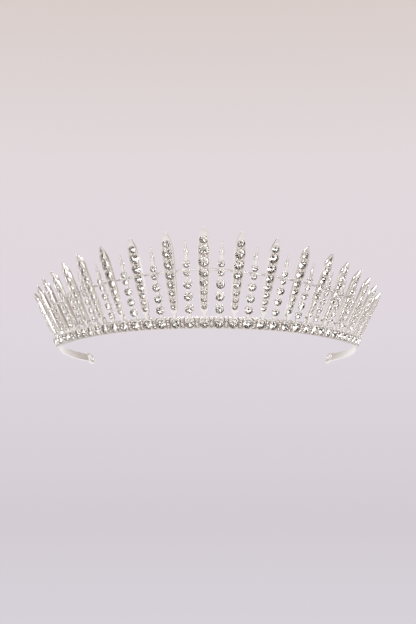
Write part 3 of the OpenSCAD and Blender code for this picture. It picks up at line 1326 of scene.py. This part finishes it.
@dataclass
class Stem(Casting):
    """One short casting: a bar of five cups, a collar bead and a pin with a ball."""

    steps: int = 28
    collar_steps: int = 12
    ball_steps: int = 8
    lip: float = 0.06 * MM
    sunk: float = 0.1 * MM
    taper: float = 0.62
    bar_edge: float = 0.2
    ball_zone: float = 1 / 6
    pin_base: float = 0.56
    pin_start: float = 0.95
    pin_top: float = 0.85
    pin_end: float = 0.8
    wall: float = field(init=False)
    bar: float = field(init=False)
    bar_front: float = field(init=False)
    collar: float = field(init=False)
    collar_y: float = field(init=False)
    ball: float = field(init=False)

    def __post_init__(self) -> None:
        """Measures the casting's CAD node."""
        x, y, z = self.measure()
        top, top_radius = self.circles[-1]
        cups = y < top.y
        self.back, self.face = z[cups].min(), z[cups].max()
        self.wall = x[cups].max() - self.circles[0][1]
        foot = y < self.foot + WELD
        self.bar, self.bar_front = x[foot].max(), z[foot].max()
        above = y > top.y + top_radius + self.wall + self.bar
        self.collar = x[above].max()
        self.collar_y = y[above & (x > self.collar - WELD)].mean()
        self.ball = x[y > self.tip - self.ball_zone * (self.tip - self.collar_y)].max()

    def mesh(self) -> bpy.types.Mesh:
        """Builds the cups, the bar between them and the finial.

        Returns:
            The casting, in place.
        """
        shell = Shell()
        start = self.foot
        for centre, radius in self.circles:
            self.add_cup(shell, centre, radius)
            self.add_bar(shell, start, centre.y - radius - self.wall + self.sunk)
            start = centre.y + radius + self.wall - self.sunk
        self.add_bar(shell, start, self.collar_y)
        middle = Vector((0, self.collar_y, (self.back + self.bar_front) / 2))
        shell.turned(self.finial(), middle, Pole.UP, self.steps)
        return shell.to_mesh(self.node + "_casting", self.place)

    def add_cup(self, shell: Shell, centre: Vector, radius: float) -> None:
        """Adds one cup with a rounded lip and a back that tapers.

        Args:
            shell: the casting.
            centre: middle of the cup.
            radius: radius of its stone.
        """
        outer, inner = radius + self.wall, radius + STONE_CUT.clearance
        depth = STONE_CUT.seat_depth(radius)
        lip = rounding(self.lip, EDGE_STEPS)
        profile = [(0.0, self.back), (self.taper * outer, self.back), (outer, (self.back + self.face) / 2)]
        profile += [(outer - aside, self.face - drop) for aside, drop in lip]
        profile += [(inner + aside, self.face - drop) for aside, drop in reversed(lip)]
        profile += [(STONE_CUT.seat_foot * inner, depth), (0.0, depth)]
        shell.turned(profile, centre.to_3d(), Pole.OUT, self.steps)

    def add_bar(self, shell: Shell, low: float, high: float) -> None:
        """Adds the bar between two heights, with rounded edges.

        Args:
            shell: the casting.
            low: lower end.
            high: upper end.
        """
        corners = Vector((-self.bar, self.back)), Vector((self.bar, self.bar_front))
        section = rounded_box(*corners, self.bar_edge * self.bar, EDGE_STEPS)
        shell.swept([[Vector((p.x, y, p.y)) for p in section] for y in (low, high)])

    def finial(self) -> list[tuple[float, float]]:
        """Gives the profile of the collar bead, pin and ball.

        Returns:
            Radius and height of each point, from the collar's middle.
        """
        length = self.tip - self.collar_y - self.ball
        pin = self.pin_base * self.collar
        profile = [(0.0, -self.collar)]
        for i in range(1, self.collar_steps):
            a = -math.pi / 2 + i * math.pi / self.collar_steps
            profile.append((self.collar * math.cos(a), self.collar * math.sin(a)))
        profile = [(radius, height) for radius, height in profile if height < 0 or radius > pin]
        profile.append((pin, self.collar * self.pin_start))
        profile.append((self.pin_top * self.ball, length - self.ball * self.pin_end))
        for i in range(1, 3 * self.ball_steps // 4):
            a = -math.pi / 4 + i * math.pi / self.ball_steps
            profile.append((self.ball * math.cos(a), length + self.ball * math.sin(a)))
        return [*profile, (0.0, length + self.ball)]


@dataclass
class BaseRow:
    """The row of claw-set stones along the band, with stacked pairs of small stones between.

    A claw's profile gives its lean, rise and radius, against its height and its foot's radius.
    """

    corner_share: float = 0.45
    corner_steps: int = 6
    seam: float = 0.1 * MM
    edge: float = 0.04 * MM
    lip: float = 0.025 * MM
    reach: float = 1.3
    grain_height: float = 0.7
    # Painted shade, partly tarnished metal, from 0 to 1: on the seats' lips, and near the block's sides
    # where blocks meet.
    lip_shade: float = 0.8
    seam_shade: float = 0.5
    claw_count: int = 4
    claw_profile: tuple[tuple[float, float, float], ...] = (
        (0.0, -0.4, 1.1), (0.0, 0.3, 1.0), (-0.5, 0.72, 0.9), (-1.0, 0.92, 0.7), (-1.2, 0.99, 0.4),
    )
    claw_tip: float = -1.25
    stones: list[Seat] = field(init=False)
    pairs: list[tuple[Seat, Seat]] = field(init=False)

    def __post_init__(self) -> None:
        """Reads the stones from the frame."""
        self.stones = stone_seats("base_stones")
        accents = stone_seats("accent_stones")
        self.pairs = list(zip(accents[::2], accents[1::2]))

    def block_points(self, node: str, place: Matrix, radius: float) -> np.ndarray:
        """Reads the CAD vertices of one block.

        Args:
            node: the CAD node of the row's blocks.
            place: the block's local frame.
            radius: radius of its stone.

        Returns:
            Three rows, with the x, y and z of each vertex in the local frame.
        """
        points = local_points(node, place)
        return points[abs(points[:, 0]) < self.reach * radius].T

    def block(self, node: str, place: Matrix, circles: Sequence[StoneCircle]) -> bpy.types.Mesh:
        """Builds one block of the row, with its seats.

        Args:
            node: the CAD node that the block belongs to.
            place: the block's local frame.
            circles: middle and radius of each of its stones.

        Returns:
            The block in its local frame.
        """
        x, y, z = self.block_points(node, place, max(radius for _, radius in circles))
        top = y > y.max() - WELD
        back, face = z[top].min(), z[top].max()
        low, high = Vector((x.min(), y.min())), Vector((x.max(), y.max()))
        outline = rounded_box(low, high, self.corner_share * x.max(), self.corner_steps)
        shell = Shell()
        rim = shell.slab(outline, back, face, self.edge)
        # Painted shade near the block's sides, where the block meets its neighbours.
        for vert in shell.mesh.verts:
            if abs(vert.co.x) > x.max() - self.seam:
                vert[shell.recess] = self.seam_shade
        shell.rest_on_floor(place)
        shell.fill(rim, shell.seats(circles, face, self.lip, self.lip_shade))
        return shell.to_mesh(node + "_block")

    def collets(self) -> Repeats:
        """Sets a block behind every large stone.

        Returns:
            The blocks.
        """
        middle = self.stones[len(self.stones) // 2]
        blocks = Repeats(self.block("base_settings", middle.place, [(Vector((0, 0)), middle.radius)]))
        for stone in self.stones:
            blocks.put(stone.place)
        return blocks

    def pair_places(self) -> list[Matrix]:
        """Finds where the pairs of small stones sit.

        Returns:
            The local frame between the two stones of each pair.
        """
        places = []
        for one, other in self.pairs:
            place = one.place.copy()
            place.translation = (one.centre + other.centre) / 2
            places.append(place)
        return places

    def accent_collets(self) -> Repeats:
        """Sets a block with two seats behind every pair of small stones.

        Returns:
            The blocks.
        """
        places = self.pair_places()
        middle = len(places) // 2
        circles = circles_in(places[middle], self.pairs[middle])
        blocks = Repeats(self.block("accent_settings", places[middle], circles))
        for place in places:
            blocks.put(place)
        return blocks

    def accent_grains(self) -> Repeats:
        """Sets a large grain between the stones of every pair, and a small one above and below them.

        Returns:
            The grains.
        """
        grains = Repeats(bead("grain"))
        for place, (one, other) in zip(self.pair_places(), self.pairs):
            _, y, z = self.block_points("accent_settings", place, one.radius)
            face = z[y > y.max() - WELD].max()
            front = y[z > face - WELD]
            rise = (one.centre - other.centre).length / 2
            near, far = rise - one.radius, rise + one.radius
            for low, high in ((front.min(), -far), (-near, near), (far, front.max())):
                radius = (high - low) / 2
                spot = Matrix.Translation(Vector((0, (low + high) / 2, face)))
                grains.put(place @ spot, (radius, radius, self.grain_height * radius))
        return grains

    def claws(self) -> Repeats:
        """Sets four claws round every large stone.

        Returns:
            The claws.
        """
        middle = self.stones[len(self.stones) // 2]
        x, y, z = self.block_points("base_settings", middle.place, middle.radius)
        face = z[y > y.max() - WELD].max()
        raised = abs(x[z > face + WELD])
        radius = (raised.max() - raised.min()) / 2
        offset = (raised.max() + raised.min()) / 2
        spot = Matrix.Translation(Vector((offset * math.sqrt(2), 0, face)))
        claws = Repeats(self.claw((z.max() - face) / radius))
        for stone in self.stones:
            for turn in range(self.claw_count):
                spin = Matrix.Rotation((turn + 0.5) * math.tau / self.claw_count, 4, "Z")
                claws.put(stone.place @ (spin @ spot), (radius, radius, radius))
        return claws

    def claw(self, height: float) -> bpy.types.Mesh:
        """Builds a claw of radius 1 that leans over the stone at -X.

        Args:
            height: its height above its block.

        Returns:
            The claw.
        """
        shell = Shell()
        rings = [shell.ring([Vector((0, 0, self.claw_profile[0][1] * height))])]
        for lean, rise, radius in self.claw_profile:
            rings.append(shell.level(circle(Vector((lean, 0)), radius, SMALL_SIDES), rise * height))
        rings.append(shell.ring([Vector((self.claw_tip, 0, height))]))
        shell.skin(rings)
        return shell.to_mesh("claw")


@dataclass
class Band:
    """The plain sprung strip, its end loops and the brace wire behind the castings."""

    strip_edge: float = 0.14 * MM
    strip_points: int = 4
    strip_gap: float = math.radians(1.2)
    wire_points: int = 8
    wire_gap: float = math.radians(0.5)
    wire_sides: int = 14
    wire_steps: int = 4
    loop_steps: int = 48
    loop_sides: int = 18

    def sections(self) -> list[list[Vector]]:
        """Finds the strip's cross-sections, from its left end to its right."""
        return rings_along("headband", self.strip_points, self.strip_gap)

    def strip(self) -> bpy.types.Mesh:
        """Builds the strip with rounded edges.

        Returns:
            The strip.
        """
        rings = []
        for ring in self.sections():
            low_out, low_in, high_out, _ = sorted(ring, key=lambda point: point.z)
            up, across = high_out - low_out, low_in - low_out
            far_corner = Vector((up.length, across.length))
            section = rounded_box(Vector((0, 0)), far_corner, self.strip_edge, EDGE_STEPS)
            up.normalize()
            across.normalize()
            rings.append([low_out + up * p.x + across * p.y for p in section])
        shell = Shell()
        shell.swept(rings)
        return shell.to_mesh("strip")

    def ends(self) -> list[Vector]:
        """Gives the middle of the strip's two ends, left end first."""
        sections = self.sections()
        return [middle_of(ring) for ring in (sections[0], sections[-1])]

    @staticmethod
    def bore(mount: str) -> Mapping[str, object]:
        """Finds the record's bore through an end loop, by name."""
        return next(m for m in frame["record"]["mounts"] if m["name"] == mount)

    def loop(self, node: str, mount: str) -> bpy.types.Mesh:
        """Builds one end loop: a round wire with a drilled hole.

        Args:
            node: name of its CAD node.
            mount: name of the record's bore through it.

        Returns:
            The loop.
        """
        bore = self.bore(mount)
        place = upright_frame(Vector(bore["pos_m"]), Vector(bore["axis"]))
        x, y, z = local_points(node, place).T
        outer, wire = float(np.hypot(x, y).max()), float(abs(z).max())
        hole = bore["dims"]["r_mm"] * MM
        profile = []
        for i in range(self.loop_sides):
            a = math.tau * (i + 0.5) / self.loop_sides
            profile.append((max(hole, outer - wire + wire * math.cos(a)), wire * math.sin(a)))
        shell = Shell()
        rings = []
        for i in range(self.loop_steps):
            turn = math.tau * i / self.loop_steps
            rings.append(shell.ring([
                Vector((radius * math.cos(turn), radius * math.sin(turn), height))
                for radius, height in profile
            ]))
        shell.skin([*rings, rings[0]])
        return shell.to_mesh(node + "_eyelet", place)

    def wire_chain(self) -> tuple[bpy.types.Mesh, float]:
        """Measures the brace wire.

        Returns:
            Its middle line as a chain of points, and its radius.
        """
        rings = rings_along("brace_wire", self.wire_points, self.wire_gap)
        centres = [middle_of(ring) for ring in rings]
        chain = bpy.data.meshes.new("brace_line")
        chain.from_pydata(centres, [(i, i + 1) for i in range(len(centres) - 1)], [])
        return chain, (rings[0][0] - centres[0]).length


@dataclass
class Solder:
    """Small solder joints where the wire, the castings and the loops meet the rest."""

    wire_size: tuple[float, ...] = (0.75 * MM, 0.5 * MM, 0.4 * MM)
    foot_rise: float = 0.32 * MM
    foot_spread: float = 1.35
    loop_size: tuple[float, ...] = (1.0 * MM, 1.15 * MM, 0.62 * MM)
    beads: Repeats = field(default_factory=lambda: Repeats(bead("solder_bead")))

    def join_wire(self, chain: bpy.types.Mesh, stones: Sequence[Seat], radius: float) -> None:
        """Adds a joint between the wire and the back of every casting.

        Args:
            chain: the wire's middle line, with one point behind each casting and one at each end.
            stones: the stones below the castings.
            radius: the wire's radius.
        """
        for vert, stone in zip(chain.vertices[1:-1], stones):
            place = stone.place.copy()
            place.translation = vert.co + radius * stone.place.col[2].to_3d()
            self.beads.put(place, self.wire_size)

    def join_foot(self, casting: Casting, half: float, front: float) -> None:
        """Adds a joint between a casting's foot and the base row.

        Args:
            casting: the casting.
            half: half the width of its foot.
            front: height of its foot's front.
        """
        middle = Vector((0, casting.foot, (casting.back + front) / 2))
        depth = (front - casting.back) / 2
        size = Vector((half, self.foot_rise / self.foot_spread, depth)) * self.foot_spread
        self.beads.put(casting.place @ Matrix.Translation(middle), size)

    def join_loop(self, strip_end: Vector, mount: Mapping[str, object]) -> None:
        """Adds a joint between the strip and an end loop.

        Args:
            strip_end: middle of the strip's end.
            mount: the record's bore through the loop.
        """
        self.beads.put(upright_frame(strip_end, Vector(mount["axis"])), self.loop_size)


SOFT_LIGHT = (1.0, 0.97, 0.98, 1.0)

# Colours of the backdrop and of what metal mirrors, by height from straight down, 0, to straight up, 1.
BACKDROP = (
    (0.447, (0.679, 0.644, 0.693, 1.0)),
    (0.486, (0.651, 0.604, 0.651, 1.0)),
    (0.560, (0.745, 0.686, 0.738, 1.0)),
    (0.625, (0.760, 0.694, 0.716, 1.0)),
    (0.683, (0.694, 0.617, 0.591, 1.0)),
)
METAL_ROOM = (
    (0.42, (0.95, 0.92, 0.92, 1.0)),
    (0.60, (1.02, 0.99, 0.98, 1.0)),
    (0.72, (0.51, 0.45, 0.41, 1.0)),
    (0.84, (0.80, 0.77, 0.76, 1.0)),
    (1.00, (0.60, 0.57, 0.56, 1.0)),
)

# Colours of the studio's light and dark cards, by the share of the cards at which each starts.
METAL_FLAGS = (
    (0.00, (0.51, 0.45, 0.41, 1.0)),
    (0.30, (0.85, 0.83, 0.82, 1.0)),
    (0.60, (1.00, 1.00, 1.00, 1.0)),
)
# Painted shade: these cards darken, in patches, the floor that metal mirrors beside the band.
MIRRORED_FLOOR_SHADE = (
    (0.00, (0.20, 0.16, 0.13, 1.0)),
    (0.35, (0.75, 0.71, 0.69, 1.0)),
    (0.55, (1.00, 1.00, 1.00, 1.0)),
)
STONE_ROOM = (
    (0.00, (0.004, 0.003, 0.002, 1.0)),
    (0.63, (0.25, 0.16, 0.11, 1.0)),
    (0.67, (0.80, 0.71, 0.67, 1.0)),
    (0.72, (1.12, 1.08, 1.07, 1.0)),
    (0.86, (3.20, 3.16, 3.14, 1.0)),
)


@dataclass(frozen=True)
class Lamp:
    """One soft studio lamp, aimed at the tiara."""

    name: str
    place: tuple[float, float, float]
    width: float
    height: float
    power: float


@dataclass
class Studio:
    """The floor, the backdrop, the lamps and the camera."""

    floor_size: float = 3.0
    floor_fade: tuple[float, float] = (0.25, 0.9)
    floor_colour: Colour = (0.79, 0.775, 0.81, 1.0)
    floor_cloud: Colour = (0.75, 0.735, 0.77, 1.0)
    floor_cloud_scale: float = 3.0
    floor_cloud_detail: float = 2.0
    floor_roughness: float = 0.8
    floor_mirrored: Colour = (0.93, 0.89, 0.88, 1.0)
    # Metal sees a painted shadow on the floor inside the band, in this darker colour, out to the reach
    # below.
    mirrored_floor_shadow: Colour = (0.32, 0.29, 0.27, 1.0)
    mirrored_shadow_reach: tuple[float, float] = (0.055, 0.07)
    side_reach: tuple[float, float] = (0.075, 0.09)
    side_shade_scale: float = 40.0
    soft_light: float = 0.6
    flag_scale: float = 2.0
    card_scale: float = 2.7
    aim: Vector = field(default_factory=lambda: Vector((0, 24.82, 0)) * MM)
    distance: float = 606 * MM
    elevation: float = math.radians(-5.87)
    yaw: float = math.radians(-0.91)
    pitch: float = math.radians(1.82)
    lens: float = 73.4
    clip_start: float = 10 * MM
    lamps: tuple[Lamp, ...] = (
        Lamp("key", (-0.55, -0.75, 0.95), 0.6, 0.45, 1.6),
        Lamp("fill", (0.75, -0.8, 0.35), 0.5, 0.4, 1.5),
        Lamp("rim", (0.05, 0.9, 0.95), 0.5, 0.4, 0.6),
    )
    sparkles: int = 6
    sparkle_reach: float = 0.7
    sparkle_height: float = 0.55
    sparkle_step: float = 0.2
    sparkle_power: float = 0.35
    rear_sparkle_power: float = 0.14
    sparkle_size: float = 0.05

    def lay_floor(self) -> None:
        """Lays a plain pale floor that only shows from above, and that fades into the backdrop."""
        half = self.floor_size / 2
        mesh = bpy.data.meshes.new("floor")
        corners = [(-half, -half, 0), (half, -half, 0), (half, half, 0), (-half, half, 0)]
        mesh.from_pydata(corners, [], [(0, 1, 2, 3)])
        mesh.materials.append(self.floor_material())
        floor = add_object("floor", mesh)

    def floor_material(self) -> bpy.types.Material:
        """Builds the floor's matt finish.

        It is clear to the camera from below and far off, and to rays inside the stones. Metal mirrors an
        even colour in its place, with a painted shadow inside the band and patches of painted shade beside
        it.

        Returns:
            The material.
        """
        material, kit, shader = new_material("pale_floor")
        noise = kit.noise(None, self.floor_cloud_scale, self.floor_cloud_detail)
        colour = kit.mix(noise, self.floor_colour, self.floor_cloud)
        kit.connect(shader, {"Base Color": colour, "Roughness": self.floor_roughness})
        place = kit.add("ShaderNodeTexCoord").outputs["Object"]
        run = kit.out("ShaderNodeVectorMath", {"Vector": place}, operation="LENGTH")
        below = kit.add("ShaderNodeNewGeometry").outputs["Backfacing"]
        bare = kit.calculate("MAXIMUM", below, kit.remap(run, *self.floor_fade))
        path = kit.add("ShaderNodeLightPath").outputs
        unseen = kit.calculate("MULTIPLY", bare, path["Is Camera Ray"])
        hidden = kit.calculate("MAXIMUM", unseen, path["Is Transmission Ray"])
        mirror_colour = self.mirrored_floor(kit, place, run)
        glow = kit.out("ShaderNodeEmission", {"Color": mirror_colour, "Strength": 1.0})
        lit = kit.mix_shaders(path["Is Glossy Ray"], shader.outputs[0], glow)
        shown = kit.mix_shaders(hidden, lit, kit.out("ShaderNodeBsdfTransparent"))
        kit.connect(kit.tree.nodes["Material Output"], {"Surface": shown})
        return material

    def mirrored_floor(self, kit: NodeKit, place: Socket, run: Socket) -> Socket:
        """Colours the floor that metal mirrors: a painted shadow inside the band, and light and dark cards
        beside it that darken it as painted shade.

        Args:
            kit: the floor's nodes.
            place: the socket of the place on the floor.
            run: the socket of the distance from the tiara's middle.

        Returns:
            The socket of the colour.
        """
        # Painted shadow: the floor that metal mirrors is darker inside the band.
        unshadowed = kit.remap(run, *self.mirrored_shadow_reach)
        plain = kit.mix(unshadowed, self.mirrored_floor_shadow, self.floor_mirrored)
        # Painted shade: beside the band, light and dark cards darken the floor that metal mirrors.
        across = kit.add("ShaderNodeSeparateXYZ", {"Vector": place}).outputs["X"]
        beside = kit.remap(kit.calculate("ABSOLUTE", across), *self.side_reach)
        return kit.mix(beside, plain, kit.cards(place, self.side_shade_scale, MIRRORED_FLOOR_SHADE), "MULTIPLY")

    def hang_backdrop(self) -> None:
        """Gives the world a soft light, and a room of its own for each kind of ray.

        The camera sees a pale backdrop, metal mirrors a graded room with cards in it, and the stones
        show light and dark cards.
        """
        world = bpy.data.worlds.new("studio")
        bpy.context.scene.world = world
        world.use_nodes = True
        kit = NodeKit(world.node_tree)
        direction = kit.add("ShaderNodeTexCoord").outputs["Generated"]
        rise = kit.add("ShaderNodeSeparateXYZ", {"Vector": direction}).outputs["Z"]
        height = kit.remap(rise, -1.0, 1.0)
        flags = kit.cards(direction, self.flag_scale, METAL_FLAGS)
        rooms = {
            "Is Glossy Ray": kit.mix(1.0, kit.ramp(height, METAL_ROOM), flags, "MULTIPLY"),
            "Is Transmission Ray": kit.cards(direction, self.card_scale, STONE_ROOM),
            "Is Camera Ray": kit.ramp(height, BACKDROP),
        }
        path = kit.add("ShaderNodeLightPath").outputs
        shown = kit.out("ShaderNodeBackground", {"Color": SOFT_LIGHT, "Strength": self.soft_light})
        for ray, colour in rooms.items():
            room = kit.out("ShaderNodeBackground", {"Color": colour, "Strength": 1.0})
            shown = kit.mix_shaders(path[ray], shown, room)
        kit.connect(kit.tree.nodes["World Output"], {"Surface": shown})

    def hang_lamps(self) -> None:
        """Hangs the soft lamps, and a ring of small ones for sparkle in the stones, weaker at the rear."""
        for lamp in self.lamps:
            self.hang(lamp)
        size = self.sparkle_size
        for i in range(self.sparkles):
            turn = math.tau * (i + 0.5) / self.sparkles
            x, y = self.sparkle_reach * math.sin(turn), -self.sparkle_reach * math.cos(turn)
            place = (x, y, self.sparkle_height + self.sparkle_step * (i % 2))
            power = self.sparkle_power if y < self.aim.y else self.rear_sparkle_power
            self.hang(Lamp(f"sparkle_{i + 1}", place, size, size, power))

    def hang(self, lamp: Lamp) -> None:
        """Hangs one lamp.

        Args:
            lamp: the lamp.
        """
        data = bpy.data.lights.new(lamp.name, "AREA")
        data.shape = "RECTANGLE"
        data.size, data.size_y = lamp.width, lamp.height
        data.energy = lamp.power
        hung = add_object(lamp.name, data)
        hung.location = lamp.place
        hung.rotation_euler = (self.aim - Vector(lamp.place)).to_track_quat("-Z", "Y").to_euler()

    def set_camera(self) -> None:
        """Sets the camera at the photograph's viewing angle."""
        level = Vector((math.sin(self.yaw), math.cos(self.yaw), 0))
        forward = level * math.cos(self.elevation) - UP * math.sin(self.elevation)
        tilted = self.elevation - self.pitch
        looking = level * math.cos(tilted) - UP * math.sin(tilted)
        data = bpy.data.cameras.new("camera")
        data.sensor_fit = "AUTO"
        data.lens = self.lens
        data.clip_start = self.clip_start
        camera = add_object("camera", data)
        camera.location = self.aim - self.distance * forward
        camera.rotation_euler = looking.to_track_quat("-Z", "Y").to_euler()
        bpy.context.scene.camera = camera
        bpy.context.scene.view_settings.view_transform = "Standard"


AnyCasting = TypeVar("AnyCasting", bound=Casting)


def nodes_named(start: str) -> list[str]:
    """Lists the CAD castings whose names start in one way, sorted round the tiara."""
    names = [name for name in frame["nodes"] if name.startswith(start) and "stones" not in name]
    return sorted(names, key=lambda name: turn_of(sum(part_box(name), Vector()) / 2))


def castings(kind: type[AnyCasting], start: str) -> list[AnyCasting]:
    """Measures all castings of one kind, each with its own stones.

    Args:
        kind: the castings' class.
        start: how the names of their nodes start.

    Returns:
        The castings, sorted round the tiara.
    """
    ranks = sorted(name for name in frame["nodes"] if name.startswith(start + "stones_"))
    stones = zip(*(stone_seats(rank) for rank in ranks))
    return [kind(node, list(own)) for node, own in zip(nodes_named(start), stones)]


def main() -> None:
    """Builds the tiara piece by piece and sets the scene."""
    logging.basicConfig(level=logging.INFO, format="%(name)s: %(message)s")
    variation = PlatingVariation().group()
    finishes = CAST_SILVER, BAND_SILVER, WIRE_SILVER, STONE_FOIL
    cast, plate, wire_plate, foil = (finish.material(variation) for finish in finishes)
    glass = ClearStone().material()
    setter = repeat_tree()

    prongs, solder = Repeats(bead("prong")), Solder()
    for spear in castings(Spear, "spear_"):
        add_piece(spear.node + "_casting", spear.mesh(), Slot.CAST, cast, spear.node)
        spear.set_prongs(prongs)
        solder.join_foot(spear, spear.neck, spear.face)
    for stem in castings(Stem, "stem_"):
        add_piece(stem.node + "_casting", stem.mesh(), Slot.CAST, cast, stem.node)
        solder.join_foot(stem, stem.bar, stem.bar_front)

    row = BaseRow()
    for name, repeats, *nodes in (
        ("spear_prongs", prongs),
        ("base_collets", row.collets(), "base_settings"),
        ("base_claws", row.claws()),
        ("accent_collets", row.accent_collets(), "accent_settings"),
        ("accent_grains", row.accent_grains()),
    ):
        add_piece(name, repeats.grown(name, setter, cast), Slot.CAST, None, *nodes)

    band = Band()
    add_piece("headband_strip", band.strip(), Slot.BAND, plate, "headband")
    for side in ("left", "right"):
        mount = "loop_" + side
        add_piece(f"eyelet_{side}", band.loop("end_" + mount, mount), Slot.BAND, plate, "end_" + mount)
    chain, radius = band.wire_chain()
    solder.join_wire(chain, row.stones, radius)
    wire = {"Radius": radius, "Sides": band.wire_sides, "Steps": band.wire_steps, "Finish": wire_plate}
    add_piece("brace", grow("brace", chain, wire_tree(), wire), Slot.BAND, None, "brace_wire")
    for side, end in zip(("left", "right"), band.ends()):
        solder.join_loop(end, band.bore("loop_" + side))
    add_piece("solder_joints", solder.beads.grown("solder_joints", setter, plate), Slot.BAND, None)

    brilliant = STONE_CUT.template()
    spread = STONE_CUT.tilt, STONE_CUT.tilt, STONE_CUT.roll
    for number, node in enumerate(sorted(name for name in frame["nodes"] if "stones" in name)):
        stones = Repeats(brilliant)
        for seat in stone_seats(node):
            stones.put(seat.place, (seat.radius, seat.radius, seat.radius))
        cut = stones.grown("cut_" + node, setter, glass, foil, spread, STONE_CUT.seed + number)
        add_piece("cut_" + node, cut, Slot.STONE, None, node)

    studio = Studio()
    studio.lay_floor()
    studio.hang_backdrop()
    studio.hang_lamps()
    studio.set_camera()


if __name__ == "__main__":
    main()
